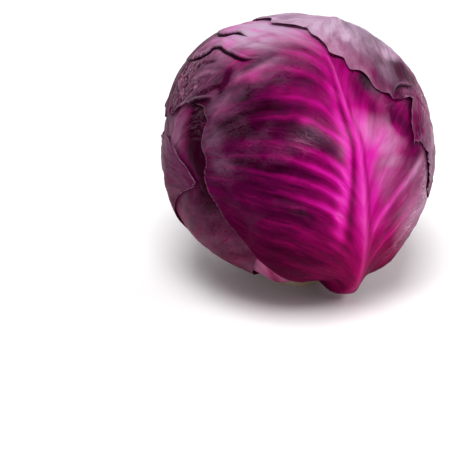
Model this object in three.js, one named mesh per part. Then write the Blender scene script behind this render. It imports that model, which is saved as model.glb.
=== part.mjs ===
// A whole red cabbage head, standing on its cut stem.
//
// Frame: millimetres, +Z up through the head, -Y towards the front leaf, origin at the middle of the
// stem's cut face, which is the flat spot that the head rests on.
//
// The head is a tight heart wrapped in separate leaves. Every leaf lies on the leaves below it: in each
// direction seen from the head's centre, a leaf's inner face is as far out as the heart and all that
// lies on it there, plus a small gap, and its outer face is that plus the leaf's own thickness.

import * as THREE from "three";

// ---- driving dimensions, in millimetres ---------------------------------------------------------
const HEAD_RADIUS = 75;
const CENTRE_HEIGHT = 76;
const BLADE_THICKNESS = 0.9;
const LEAF_GAP = 1.2;
const MARGIN_FALLOFF = 28; // how far beyond a leaf's margin its step fades out in the leaf above
const SETTLE_FALLOFF = 36; // the same, for how the whole head packs together
const STALK_ROOM = 4.6; // how much the heart gives way to the thick stalks round the stem

const STEM_TOP = 13.5;
const STEM_CLEARANCE = 1.2;
const FLOOR_CLEARANCE = 0.4; // the stalks' undersides are flattened this far above the floor
const STEM_CUT_CHAMFER = 0.6;
const STEM_TOP_CHAMFER = 1.5;

// ---- leaf proportions, angles in degrees round the head's centre ---------------------------------
const STEM_ANGLE = 13.4; // from straight down to where the stalks meet the stem
const STALK_HALF_WIDTH = 7.5;
const STALK_ALONG = 26; // where the stalk is thickest
const STALK_SPREAD = 17;
const WIDEST_SHARE = 0.46; // share of the leaf's length where it is widest
const TIP_ROUNDING = 26;
const SWEEP_LENGTH = 100; // a stalk's sideways sweep is gone this far up the leaf
const SWEEP_PEAK = 2.6; // makes a sweep of 1 bend the stalk by 1 degree at most
const FACET_STEP = 7.4; // size of a leaf's facets
const FACET_CLEARANCE = 3.5; // a facet clears everything this near to its corners

// The leaves, from the innermost to the outermost. face is the azimuth of the midrib at mid height,
// 0 at the front and 90 at the right-hand side. sweep bends the stalk to the right. left and right are
// the half widths seen from outside, reach is the angle from straight down to the tip, tip is the
// share of the width left at the tip, and rib is the midrib's height in millimetres.
const LEAVES = [
  { face: -14, sweep: -3, left: 56, right: 54, reach: 164, tip: 0.55, rib: 1.2 },
  { face: 60, sweep: 4, left: 54, right: 54, reach: 170, tip: 0.55, rib: 1.2 },
  { face: -178, sweep: -3, left: 56, right: 54, reach: 170, tip: 0.55, rib: 1.3 },
  { face: -70, sweep: 2, left: 52, right: 58, reach: 166, tip: 0.55, rib: 1.7 },
  { face: 98, sweep: 2, left: 56, right: 58, reach: 174, tip: 0.55, rib: 1.5 },
  { face: -132, sweep: 4, left: 56, right: 76, reach: 172, tip: 0.55, rib: 2.2 },
  { face: 25, sweep: 8, left: 62, right: 62, reach: 238, tip: 0.78, rib: 2.8 },
  { face: 140, sweep: 5, left: 72, right: 64, reach: 188, tip: 0.8, rib: 2.6 },
];

// ---- small helpers -------------------------------------------------------------------------------
const DEG = Math.PI / 180;
const MM_PER_DEG = HEAD_RADIUS * DEG;
const clamp = (x, low, high) => Math.min(high, Math.max(low, x));
const smoothstep = (x) => clamp(x, 0, 1) ** 2 * (3 - 2 * clamp(x, 0, 1));
const hump = (x, middle, spread) => Math.exp(-(((x - middle) / spread) ** 2));
const angleFromBelow = (toward) => Math.acos(clamp(-toward.z, -1, 1)) / DEG;

// Unit vector at an azimuth and at an angle from straight down.
function direction(azimuth, fromBelow) {
  const outward = Math.sin(fromBelow * DEG);
  return new THREE.Vector3(
    outward * Math.sin(azimuth * DEG),
    -outward * Math.cos(azimuth * DEG),
    -Math.cos(fromBelow * DEG),
  );
}

const pointAt = (toward, radius) => new THREE.Vector3(0, 0, CENTRE_HEIGHT).addScaledVector(toward, radius);

// ---- a leaf's own coordinates --------------------------------------------------------------------
// along runs up the middle of the leaf, from 0 at straight down, through 90 at mid height, to reach at
// the tip. across is the angle to the right of that line.
const leaves = LEAVES.map((leaf) => ({
  ...leaf,
  faceAxis: direction(leaf.face, 90),
  sideAxis: direction(leaf.face + 90, 90),
}));

function leafDirection(leaf, along, across) {
  return new THREE.Vector3(0, 0, -Math.cos(across * DEG) * Math.cos(along * DEG))
    .addScaledVector(leaf.faceAxis, Math.cos(across * DEG) * Math.sin(along * DEG))
    .addScaledVector(leaf.sideAxis, Math.sin(across * DEG));
}

function leafPlace(leaf, toward) {
  const turn = Math.atan2(toward.dot(leaf.faceAxis), -toward.z) / DEG;
  const along = turn < -90 ? turn + 360 : turn;
  return { along, across: Math.asin(clamp(toward.dot(leaf.sideAxis), -1, 1)) / DEG };
}

// How far the midrib stands to the right of the middle line: the stalk sweeps out and back.
function midrib(leaf, along) {
  const share = clamp(along, STEM_ANGLE, SWEEP_LENGTH) / SWEEP_LENGTH;
  return SWEEP_PEAK * leaf.sweep * Math.sqrt(share) * (1 - share);
}

// Half width from the midrib: a narrow stalk, a broad blade, and what is left at the blunt tip.
function halfWidth(leaf, along, side) {
  const share = clamp((along - STEM_ANGLE) / (leaf.reach - STEM_ANGLE), 0, 1);
  const widest = side < 0 ? leaf.left : leaf.right;
  const opening = smoothstep(0.12 + (0.88 * share) / WIDEST_SHARE);
  const beyond = clamp((share - WIDEST_SHARE) / (1 - WIDEST_SHARE), 0, 1);
  const closing = 1 - (1 - leaf.tip) * beyond ** 1.7;
  return STALK_HALF_WIDTH + (widest - STALK_HALF_WIDTH) * opening * closing;
}

// The stalk starts at the stem's side, and the tip is rounded.
function startAlong(across) {
  return Math.acos(clamp(Math.cos(STEM_ANGLE * DEG) / Math.cos(across * DEG), 0, 1)) / DEG;
}

const tipAlong = (leaf, shareAcross) => leaf.reach - TIP_ROUNDING * shareAcross ** 2;

// 1 on the leaf, fading to 0 over a falloff in millimetres beyond its margin.
function coverage(leaf, toward, falloff) {
  const { along, across } = leafPlace(leaf, toward);
  const offset = across - midrib(leaf, along);
  const limit = halfWidth(leaf, along, offset);
  const beyond = Math.max(
    Math.abs(offset) - limit,
    along - tipAlong(leaf, clamp(Math.abs(offset) / limit, 0, 1)),
    STEM_ANGLE - angleFromBelow(toward),
    -along,
    0,
  );
  return 1 - smoothstep((beyond * MM_PER_DEG) / falloff);
}

// Height of the midrib above the blade: a thick stalk near the stem that thins towards the tip. The
// leaf above takes the same shape, widened, because it drapes over it.
function ribHeight(leaf, toward, draped) {
  const { along, across } = leafPlace(leaf, toward);
  const stalk = hump(along, STALK_ALONG, STALK_SPREAD);
  const height = leaf.rib * (0.25 + 0.75 * (1 - smoothstep((along - 60) / 110)) + stalk);
  const width = 4.5 + 5.5 * stalk + (draped ? 8 : 0);
  return height * hump((across - midrib(leaf, along)) * MM_PER_DEG, 0, width);
}

// ---- how the head packs --------------------------------------------------------------------------
// Radius of the heart: what is left of the head's round shape under all the blades, kept clear of the
// top of the stem.
function heartRadius(toward) {
  const layers = leaves.reduce((sum, leaf) => sum + coverage(leaf, toward, SETTLE_FALLOFF), 0);
  const room = STALK_ROOM * hump(angleFromBelow(toward), 24, 26);
  const packed = HEAD_RADIUS - layers * (LEAF_GAP + BLADE_THICKNESS) - room;
  const overStem = (CENTRE_HEIGHT - STEM_TOP - STEM_CLEARANCE) / Math.max(0.2, -toward.z);
  return Math.min(packed, overStem);
}

// Radius of the top of the first leaves, as many as count says.
function stackRadius(toward, count) {
  return leaves.slice(0, count).reduce((radius, leaf) => {
    const covered = coverage(leaf, toward, MARGIN_FALLOFF);
    if (covered === 0) return radius;
    return radius + covered * (LEAF_GAP + BLADE_THICKNESS + ribHeight(leaf, toward, true));
  }, heartRadius(toward));
}

// Radius at which a direction comes down to the floor.
const floorRadius = (toward) => (CENTRE_HEIGHT - FLOOR_CLEARANCE) / Math.max(0.2, -toward.z);

// Radius that clears what lies below, here and a short way round.
function clearRadius(leaf, along, across, count) {
  const steps = [-FACET_CLEARANCE, 0, FACET_CLEARANCE];
  const around = steps.flatMap((a) => steps.map((b) => leafDirection(leaf, along + a, across + b)));
  return Math.max(...around.map((toward) => stackRadius(toward, count)));
}

// ---- meshes --------------------------------------------------------------------------------------
// A closed shell from two equal grids of points, the outer and the inner, joined round their border.
function shellGeometry(outer, inner) {
  const rows = outer.length;
  const columns = outer[0].length;
  const at = (layer, row, column) => (layer * rows + row) * columns + column;
  const faces = [];
  const quad = (a, b, c, d) => faces.push(a, b, c, a, c, d);
  for (let row = 0; row < rows - 1; row++) {
    for (let column = 0; column < columns - 1; column++) {
      quad(at(0, row, column), at(0, row, column + 1), at(0, row + 1, column + 1), at(0, row + 1, column));
      quad(at(1, row, column), at(1, row + 1, column), at(1, row + 1, column + 1), at(1, row, column + 1));
    }
  }
  const border = [
    ...outer[0].keys().map((column) => [0, column]),
    ...outer.keys().drop(1).map((row) => [row, columns - 1]),
    ...outer[0].keys().drop(1).map((column) => [rows - 1, columns - 1 - column]),
    ...outer.keys().drop(1).map((row) => [rows - 1 - row, 0]),
  ];
  for (let step = 0; step < border.length - 1; step++) {
    const [here, next] = [border[step], border[step + 1]];
    quad(at(0, ...here), at(1, ...here), at(1, ...next), at(0, ...next));
  }
  return new THREE.BufferGeometry().setFromPoints([...outer.flat(), ...inner.flat()]).setIndex(faces);
}

function leafMesh(leaf, order) {
  const rows = Math.round((leaf.reach - STEM_ANGLE) / FACET_STEP);
  const columns = 2 * Math.round((leaf.left + leaf.right) / FACET_STEP / 2);
  const outer = [];
  const inner = [];
  for (let row = 0; row <= rows; row++) {
    outer.push([]);
    inner.push([]);
    for (let column = 0; column <= columns; column++) {
      const shareAcross = (2 * column) / columns - 1;
      const start = startAlong(midrib(leaf, STEM_ANGLE) + shareAcross * STALK_HALF_WIDTH);
      const along = start + (row / rows) * (tipAlong(leaf, shareAcross) - start);
      const across = midrib(leaf, along) + shareAcross * halfWidth(leaf, along, shareAcross);
      const toward = leafDirection(leaf, along, across);
      const under = clearRadius(leaf, along, across, order) + LEAF_GAP;
      const over = under + BLADE_THICKNESS + ribHeight(leaf, toward, false);
      inner[row].push(pointAt(toward, under));
      outer[row].push(pointAt(toward, Math.min(over, floorRadius(toward))));
    }
  }
  const mesh = new THREE.Mesh(shellGeometry(outer, inner), leafMaterial(order));
  mesh.name = `wrapper_leaf_${leaves.length - order}`;
  return mesh;
}

// The heart: a closed ball of tightly folded inner leaves, flattened over the stem.
function heartMesh() {
  const rings = 22;
  const sides = 32;
  const points = [pointAt(direction(0, 0), heartRadius(direction(0, 0)))];
  for (let ring = 1; ring < rings; ring++) {
    for (let side = 0; side < sides; side++) {
      const toward = direction((360 * side) / sides, (180 * ring) / rings);
      points.push(pointAt(toward, heartRadius(toward)));
    }
  }
  points.push(pointAt(direction(0, 180), heartRadius(direction(0, 180))));
  const at = (ring, side) => 1 + (ring - 1) * sides + (side % sides);
  const faces = [];
  for (let side = 0; side < sides; side++) {
    faces.push(0, at(1, side + 1), at(1, side));
    for (let ring = 1; ring < rings - 1; ring++) {
      faces.push(at(ring, side), at(ring, side + 1), at(ring + 1, side + 1));
      faces.push(at(ring, side), at(ring + 1, side + 1), at(ring + 1, side));
    }
    faces.push(at(rings - 1, side), at(rings - 1, side + 1), points.length - 1);
  }
  const geometry = new THREE.BufferGeometry().setFromPoints(points).setIndex(faces);
  const mesh = new THREE.Mesh(geometry, heartMaterial());
  mesh.name = "heart";
  return mesh;
}

// The cut stem: a short plug that widens downwards, its side sloping in the way the stalks meet it.
function stemMesh() {
  const sides = 36;
  const radiusAt = (z) => (CENTRE_HEIGHT - z) * Math.tan(STEM_ANGLE * DEG) - STEM_CLEARANCE;
  const profile = [
    [0, 0],
    [radiusAt(0) - STEM_CUT_CHAMFER, 0],
    [radiusAt(STEM_CUT_CHAMFER), STEM_CUT_CHAMFER],
    [radiusAt(STEM_TOP - STEM_TOP_CHAMFER), STEM_TOP - STEM_TOP_CHAMFER],
    [radiusAt(STEM_TOP) - STEM_TOP_CHAMFER, STEM_TOP],
    [0, STEM_TOP],
  ].map(([radius, z]) => new THREE.Vector2(radius, z));
  const mesh = new THREE.Mesh(new THREE.LatheGeometry(profile, sides).rotateX(Math.PI / 2), stemMaterial());
  mesh.name = "stem";
  return mesh;
}

// ---- materials -----------------------------------------------------------------------------------
function leafMaterial(order) {
  const color = new THREE.Color("#8a2a6c").lerp(new THREE.Color("#5b2b4f"), order / (leaves.length - 1));
  return new THREE.MeshStandardMaterial({ color, roughness: 0.5, metalness: 0 });
}

function heartMaterial() {
  return new THREE.MeshStandardMaterial({ color: "#9c4a86", roughness: 0.55, metalness: 0 });
}

function stemMaterial() {
  return new THREE.MeshStandardMaterial({ color: "#eadfc8", roughness: 0.7, metalness: 0 });
}

// ---- the head ------------------------------------------------------------------------------------
const head = new THREE.Group();
head.add(stemMesh(), heartMesh(), ...leaves.map(leafMesh));

export default head;
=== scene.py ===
"""A whole red cabbage: waxy wrapper leaves round a tight heart, standing on its cut stem.

Every leaf is a closed skin worked out on a grid of two parameters, up the leaf and across it. Seen
from the head's centre each leaf lies on the ones below it, so its inner side is the heart's radius
plus what the leaves below add there, and its outer side adds the leaf's own thickness and relief.
All lengths are metres in the frame's own axes, and all leaf angles are degrees round the head's centre.
"""

import logging
import math
from dataclasses import dataclass
from enum import Enum

import bpy
import numpy as np
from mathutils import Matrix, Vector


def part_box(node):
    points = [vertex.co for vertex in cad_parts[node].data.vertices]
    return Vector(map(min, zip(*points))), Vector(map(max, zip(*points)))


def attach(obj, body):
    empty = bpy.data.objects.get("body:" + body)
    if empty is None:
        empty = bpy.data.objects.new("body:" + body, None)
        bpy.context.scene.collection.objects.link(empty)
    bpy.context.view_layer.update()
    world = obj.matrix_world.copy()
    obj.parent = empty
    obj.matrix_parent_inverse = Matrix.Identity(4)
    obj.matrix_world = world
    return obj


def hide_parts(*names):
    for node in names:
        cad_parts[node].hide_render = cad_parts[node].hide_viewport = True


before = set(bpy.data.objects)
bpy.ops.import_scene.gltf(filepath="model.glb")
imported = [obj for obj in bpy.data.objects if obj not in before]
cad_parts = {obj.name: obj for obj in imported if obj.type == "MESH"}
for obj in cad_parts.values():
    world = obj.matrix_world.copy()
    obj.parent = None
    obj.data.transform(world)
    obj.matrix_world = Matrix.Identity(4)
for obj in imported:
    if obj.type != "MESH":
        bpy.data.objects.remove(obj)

LOG = logging.getLogger("red_cabbage")
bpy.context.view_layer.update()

MM = 0.001
STEM_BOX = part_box("stem")
HEAD_RADIUS = 75 * MM
CENTRE = np.array([0.0, 0.0, STEM_BOX[0][2] + 76 * MM])
DEGREE = HEAD_RADIUS * math.pi / 180  # length of one degree on the head's surface

BLADE = 0.8 * MM  # thickness of a blade
GAP = 0.35 * MM  # air between two leaves
FLOOR_GAP = 0.3 * MM  # how far the stalks keep off the table
STEP_FALLOFF = 8.0 * MM  # how far a margin's step spreads under the next leaf
STEP_SOFTENING = 5.0 * MM  # how much further it spreads under each later leaf
SETTLE_FALLOFF = 36.0 * MM  # how far round a leaf the heart gives way to it
COVER_FALLOFF = 5.0 * MM  # how far outside the leaf above it a leaf's relief comes up
STEM_ANGLE = 13.4  # where leaves leave the stem, in degrees from straight down
WAVES_FROM = 40  # angle up the leaf from which the margin waves, fully so at twice that
LIP_END = 38  # angle up the leaf below which the midrib turns into a flat-topped lip
STALK_HALF_WIDTH = 7.5  # half the angle that a stalk takes up across the leaf

GROOVE = 0.12 * MM  # dip along both sides of the midrib
SWELL = 0.6 * MM  # slow rise and fall of a blade across its veins
PLEAT = 0.25 * MM  # finer rise and fall
MARGIN = 9 * MM  # width of the zone that lifts at a free margin
RUFFLE = 0.45 * MM  # unevenness of that lift
CRUMPLE = 0.8 * MM  # depth of the little creases
RIDGE_SPREAD = 5 * MM  # how much wider a midrib pushes through the leaves over it
FOLD_POINTS = 160  # points along a fold's line
FOLD_LEAN = 0.2 * MM  # how far before its line a step fold starts to rise
FOLD_EDGE = 0.9 * MM  # distance over which it rises
VALLEY_DEPTH = 0.35  # depth of the valley below it, as a share of its height
VALLEY_PLACE = -1.1 * MM  # where that valley lies
VALLEY_WIDTH = 1.2 * MM  # its half width
FOLD_HOLD = 1 * MM  # how far past the ends of its line a fold stays whole
FOLD_END = 4 * MM  # distance over which it dies beyond that
FULL_FOLD = 1.7 * MM  # height of a step fold that counts as full strength
# painted light: a soft fold's raised side brightens the colour up to this height
SOFT_FOLD_LIGHT = 0.6 * MM  # how high the raised side of a soft fold still brightens
BRIGHTEST_BLADE = 0.82  # tone that only the midrib's crest may pass
FAR = 9.0  # millimetres past which the finish takes no notice of a margin or a fold

FIELDS = ("tone", "warm", "bloom", "dry", "rim", "inside", "away", "fold", "streak")
Knots = tuple[tuple[float, float], ...]
Stops = tuple[tuple[float, str], ...]
Socket = bpy.types.NodeSocket
Input = float | tuple[float, ...] | Socket


# ---- numbers on whole arrays ---------------------------------------------------------------------
def smoothstep(x: np.ndarray) -> np.ndarray:
    """S-curve: 0 below 0, 1 above 1, and 3x^2 - 2x^3 between."""
    x = np.clip(x, 0.0, 1.0)
    return x * x * (3.0 - 2.0 * x)


def hump(x: np.ndarray, middle: float, spread: float) -> np.ndarray:
    """Bell: e to the minus square of the distance from the middle over the spread."""
    return np.exp(-(((x - middle) / spread) ** 2))


def curve(x: np.ndarray, knots: Knots) -> np.ndarray:
    """Smooth line through knots that never swings past them.

    Cubic pieces: the slope at a knot is the harmonic mean of the two chords there, or 0 at a turn.

    Args:
        x: where to read the line, held at the end knots beyond them.
        knots: pairs of place and height, in rising order of place.

    Returns:
        The height at each x.
    """
    places, heights = np.array(knots).T
    chords = np.diff(heights) / np.diff(places)
    before, after = np.r_[chords[0], chords], np.r_[chords, chords[-1]]
    same = before * after > 0
    slopes = np.where(same, 2 * before * after / np.where(same, before + after, 1.0), 0.0)
    x = np.clip(x, places[0], places[-1])
    left = np.clip(np.searchsorted(places, x) - 1, 0, len(places) - 2)
    span = places[left + 1] - places[left]
    t = (x - places[left]) / span
    start = (1 + 2 * t) * (1 - t) ** 2 * heights[left] + t * (1 - t) ** 2 * span * slopes[left]
    end = t * t * (3 - 2 * t) * heights[left + 1] + t * t * (t - 1) * span * slopes[left + 1]
    return start + end


def lattice_noise(x: np.ndarray, y: np.ndarray, seed: int) -> np.ndarray:
    """Smooth random heights: one random number at each corner of the unit squares, joined by S-curves.

    Args:
        x: places across the squares.
        y: places up the squares.
        seed: picks the random numbers.

    Returns:
        Heights from -1 to 1.
    """
    size = 64
    table = np.random.default_rng(seed).uniform(-1, 1, (size, size))
    column, row = np.floor(x).astype(int), np.floor(y).astype(int)
    across, up = smoothstep(x - column), smoothstep(y - row)
    left, right = column % size, (column + 1) % size
    below, above = row % size, (row + 1) % size
    low = table[below, left] * (1 - across) + table[below, right] * across
    high = table[above, left] * (1 - across) + table[above, right] * across
    return low * (1 - up) + high * up


def cloud(x: np.ndarray, y: np.ndarray, seed: int, octaves: int = 3) -> np.ndarray:
    """Sum of lattice noises, each twice as fine and half as strong as the one before."""
    heights = sum(lattice_noise(x * 2**k, y * 2**k, seed + k) / 2**k for k in range(octaves))
    return heights / sum(1 / 2**k for k in range(octaves))


def directions(azimuth: np.ndarray, from_below: np.ndarray) -> np.ndarray:
    """Unit vectors on a ball, by sines and cosines of both angles.

    Args:
        azimuth: angles round the vertical, 0 at the front and 90 to the right.
        from_below: angles from straight down.

    Returns:
        The vectors, three numbers each.
    """
    azimuth, from_below = np.radians(azimuth), np.radians(from_below)
    out = np.sin(from_below)
    down = np.cos(from_below) + 0 * azimuth
    return np.stack([out * np.sin(azimuth), -out * np.cos(azimuth), -down], axis=-1)


def from_below_of(toward: np.ndarray) -> np.ndarray:
    """Angle of each unit vector from straight down."""
    return np.degrees(np.arccos(np.clip(-toward[..., 2], -1, 1)))


def radius_at_level(toward: np.ndarray, level: float) -> np.ndarray:
    """Radius at which a direction comes down to a level plane, and a far one where it doesn't."""
    return level / np.maximum(0.2, -toward[..., 2])


def at_radius(toward: np.ndarray, radius: np.ndarray) -> np.ndarray:
    """Points that far from the head's centre along each direction."""
    return CENTRE + toward * radius[..., None]


# ---- meshes --------------------------------------------------------------------------------------
def grid_quads(index: np.ndarray) -> np.ndarray:
    """Quads of a grid of point numbers, turning the same way as the grid's rows and columns."""
    return np.stack([index[:-1, :-1], index[:-1, 1:], index[1:, 1:], index[1:, :-1]], axis=-1).reshape(-1, 4)


def border_of(index: np.ndarray) -> np.ndarray:
    """Point numbers once round a grid's border."""
    return np.concatenate([index[0], index[1:, -1], index[-1, -2::-1], index[-2:0:-1, 0]])


def skin_faces(rows: int, columns: int) -> list[np.ndarray]:
    """Faces of a closed skin whose inner grid keeps every second point of the outer one.

    Args:
        rows: rows of the outer grid, an odd number.
        columns: columns of the outer grid, an odd number.

    Returns:
        Quads of both grids, and five-sided faces of the rim between them.
    """
    outer = np.arange(rows * columns).reshape(rows, columns)
    low_rows, low_columns = rows // 2 + 1, columns // 2 + 1
    inner = outer.size + np.arange(low_rows * low_columns).reshape(low_rows, low_columns)
    fine, coarse = border_of(outer), border_of(inner)
    after = np.roll(coarse, -1)
    rim = np.stack([fine[::2], coarse, after, np.roll(fine, -2)[::2], fine[1::2]], axis=-1)
    return [grid_quads(outer), grid_quads(inner)[:, ::-1], rim]


def tube_faces(rings: int, sides: int) -> list[np.ndarray]:
    """Faces of a closed tube.

    Args:
        rings: rings along the tube.
        sides: points in each ring.

    Returns:
        Quads of the wall, and one flat face over each end.
    """
    index = np.arange(rings * sides).reshape(rings, sides)
    after = np.roll(index, -1, axis=1)
    walls = np.stack([index[:-1], after[:-1], after[1:], index[1:]], axis=-1).reshape(-1, 4)
    return [walls, index[:1, ::-1], index[-1:]]


def new_object(name: str, points: np.ndarray, faces: list[np.ndarray]) -> bpy.types.Object:
    """Smooth-shaded object at the origin.

    Args:
        name: the object's name.
        points: an array of points, three numbers each.
        faces: arrays of faces, each array with its own number of corners.

    Returns:
        The object, linked into the scene.
    """
    mesh = bpy.data.meshes.new(name)
    corners = np.concatenate([f.ravel() for f in faces])
    sizes = np.concatenate([np.full(len(f), f.shape[1]) for f in faces])
    mesh.vertices.add(len(points))
    mesh.vertices.foreach_set("co", points.astype(np.float32).ravel())
    mesh.loops.add(len(corners))
    mesh.loops.foreach_set("vertex_index", corners.astype(np.int32))
    mesh.polygons.add(len(sizes))
    mesh.polygons.foreach_set("loop_start", (np.cumsum(sizes) - sizes).astype(np.int32))
    mesh.polygons.foreach_set("use_smooth", np.ones(len(sizes), dtype=bool))
    mesh.update(calc_edges=True)
    mesh.validate()
    piece = bpy.data.objects.new(name, mesh)
    bpy.context.collection.objects.link(piece)
    return piece


def add_field(piece: bpy.types.Object, name: str, values: np.ndarray) -> None:
    """Stores one number a point, which the material reads by this name."""
    layer = piece.data.attributes.new(name, "FLOAT", "POINT")
    layer.data.foreach_set("value", values.astype(np.float32).ravel())


def add_uv(piece: bpy.types.Object, across: np.ndarray, along: np.ndarray) -> None:
    """Stores the skin UV map.

    Args:
        piece: a piece with its mesh.
        across: metres across its surface, one number a point.
        along: metres up its surface, one number a point.
    """
    mesh = piece.data
    corners = np.empty(len(mesh.loops), dtype=np.int32)
    mesh.loops.foreach_get("vertex_index", corners)
    pairs = np.stack([across.ravel(), along.ravel()], axis=-1).astype(np.float32)[corners]
    mesh.uv_layers.new(name="skin").data.foreach_set("uv", pairs.ravel())


def hand_over(piece: bpy.types.Object, node: str, finish: "Finish") -> bpy.types.Object:
    """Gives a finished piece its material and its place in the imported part.

    Args:
        piece: the piece with its mesh.
        node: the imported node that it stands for.
        finish: what it is made of.

    Returns:
        The piece.
    """
    material = finish.material()
    piece.data.materials.append(material)
    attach(piece, "root")
    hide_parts(node)
    LOG.info("%s: %d faces, finish %s", piece.name, len(piece.data.polygons), material.name)
    return piece


# ---- how a leaf is laid out ----------------------------------------------------------------------
@dataclass(frozen=True)
class Outline:
    """A leaf's outline in its own angles.

    Attributes:
        left: half width to the left of the midrib, at angles up the leaf.
        right: the same to the right.
        tip: how far up the leaf reaches, at shares of the half width from -1 to 1.
        wave: size of the small waves in the margin.
        wave_length: angle between two waves.
        wave_phase: turn of the first wave.
    """

    left: Knots
    right: Knots
    tip: Knots
    wave: float = 0.7
    wave_length: float = 11.0
    wave_phase: float = 0.0

    @staticmethod
    def plain(left: float, right: float, reach: float, blunt: float = 0.55) -> "Outline":
        """A leaf that opens from its stalk to its widest place and closes to a blunt round tip.

        Args:
            left: its greatest half width on the left.
            right: the same on the right.
            reach: how far up it reaches in the middle.
            blunt: half width that is left at the tip, as a share of the greatest.

        Returns:
            The outline. Its tip is a parabola.
        """
        shares = (0.0, 0.08, 0.18, 0.3, 0.46, 0.62, 0.8, 1.0)
        widths = (0.14, 0.28, 0.58, 0.86, 1.0, 0.96, 0.82, blunt)
        hang = 26  # how far the corners of the tip hang back from its middle

        def side(widest: float) -> Knots:
            """One side's half widths, opened to the widest one."""
            return tuple((STEM_ANGLE + s * (reach - STEM_ANGLE), w * widest) for s, w in zip(shares, widths))

        tip = tuple((s, reach - hang * s * s) for s in (-1.0, -0.75, -0.5, -0.25, 0.0, 0.25, 0.5, 0.75, 1.0))
        return Outline(side(left), side(right), tip)

    def ripple(self, angle: np.ndarray) -> np.ndarray:
        """Uneven wave from -1 to 1 along the margin: two sines whose lengths don't match."""
        turn = 2 * np.pi * angle / self.wave_length + self.wave_phase
        return 0.62 * np.sin(turn) + 0.38 * np.sin(1.73 * turn + 1.1)

    def width(self, along: np.ndarray, offset: np.ndarray) -> np.ndarray:
        """Half width on the side that the offset is on, with the margin's waves."""
        side = np.where(offset < 0, curve(along, self.left), curve(along, self.right))
        return side + self.wave * self.ripple(along) * smoothstep((along - WAVES_FROM) / WAVES_FROM)

    def reach(self, share: np.ndarray) -> np.ndarray:
        """How far up the leaf reaches at a share of its half width, with the margin's waves."""
        return curve(share, self.tip) + self.wave * self.ripple(share * 50)


@dataclass(frozen=True)
class Veins:
    """Side veins: where each leaves the midrib, and how it climbs as it goes out.

    Attributes:
        left: where each left vein starts up the leaf, and how strong it is.
        right: the same for the right veins.
        left_climb: first climb, its run-out angle and the later climb per degree, on the left.
        right_climb: the same on the right.
        height: a side vein's height beside the midrib.
        pucker: how far the blade bulges between the veins.
        tone: how much brighter a vein is than the blade.
        wander: how far a vein strays from its line.
        width: half width of a vein far from the midrib, and how much more it has beside it.
        widening: angle off the midrib over which it narrows.
        fade: angle off the midrib over which the veins die out.
    """

    left: Knots = tuple((start, 1.0) for start in (26, 38, 50, 62, 75, 88, 101, 115, 129, 143, 158))
    right: Knots = tuple((start, 1.0) for start in (31, 43, 56, 68, 81, 95, 108, 122, 136, 151, 166))
    left_climb: tuple[float, float, float] = (18.0, 10.0, 0.5)
    right_climb: tuple[float, float, float] = (18.0, 10.0, 0.5)
    height: float = 0.45 * MM
    pucker: float = 0.35 * MM
    tone: float = 0.2
    wander: float = 1.6
    width: tuple[float, float] = (1.0, 1.7)
    widening: float = 12.0
    fade: float = 48.0


class FoldKind(Enum):
    """What a fold looks like across its line."""

    STEP = 1
    SOFT = 2


@dataclass(frozen=True)
class Fold:
    """A fold in a blade, along a line of azimuths and latitudes.

    Attributes:
        line: azimuth and latitude of the line's points, the raised side on its left.
        height: how high the raised side stands over the lower one; for a soft fold, how deep its valley
            is, or with a minus sign how high its ridge is.
        reach: how far the raised side runs back to the blade, or a soft fold's half width.
        kind: a step, or a soft fold.
        fade: shares of the line over which it comes up at its start and dies at its end.
    """

    line: Knots
    height: float = 1.4 * MM
    reach: float = 7.0 * MM
    kind: FoldKind = FoldKind.STEP
    fade: tuple[float, float] = (0.2, 0.3)

    def fields(self, toward: np.ndarray) -> tuple[np.ndarray, np.ndarray, np.ndarray]:
        """The fold at each direction.

        The line's nearest point gives how far along the line a direction lies, and its distance from
        the line there, positive on the raised side.

        Args:
            toward: unit vectors from the head's centre.

        Returns:
            Height, distance from the line in millimetres, and the fold's strength there.
        """
        order = np.arange(len(self.line))
        steps = np.linspace(0, len(self.line) - 1, FOLD_POINTS)
        azimuth, latitude = (curve(steps, tuple(zip(order, column))) for column in np.array(self.line).T)
        path = directions(azimuth, 90 + latitude)
        ahead = np.gradient(path, axis=0)
        ahead /= np.linalg.norm(ahead, axis=-1, keepdims=True)
        nearest = np.argmax(toward @ path.T, axis=-1)
        normal = np.cross(path, ahead)[nearest]
        past = np.abs(np.sum(ahead[nearest] * (toward - path[nearest]), axis=-1)) * HEAD_RADIUS
        away = np.sum(normal * toward, axis=-1) * HEAD_RADIUS
        share = nearest / (len(path) - 1)
        strength = smoothstep(share / self.fade[0]) * smoothstep((1 - share) / self.fade[1])
        strength = strength * (1 - smoothstep((past - FOLD_HOLD) / FOLD_END))
        if self.kind is FoldKind.SOFT:
            return -self.height * strength * hump(away, 0, self.reach), away / MM, 0.0 * strength
        raised = smoothstep((away + FOLD_LEAN) / FOLD_EDGE) * hump(np.maximum(away, 0), 0, self.reach)
        valley = -VALLEY_DEPTH * hump(away, VALLEY_PLACE, VALLEY_WIDTH)
        return self.height * strength * (raised + valley), away / MM, strength * self.height / FULL_FOLD


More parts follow.
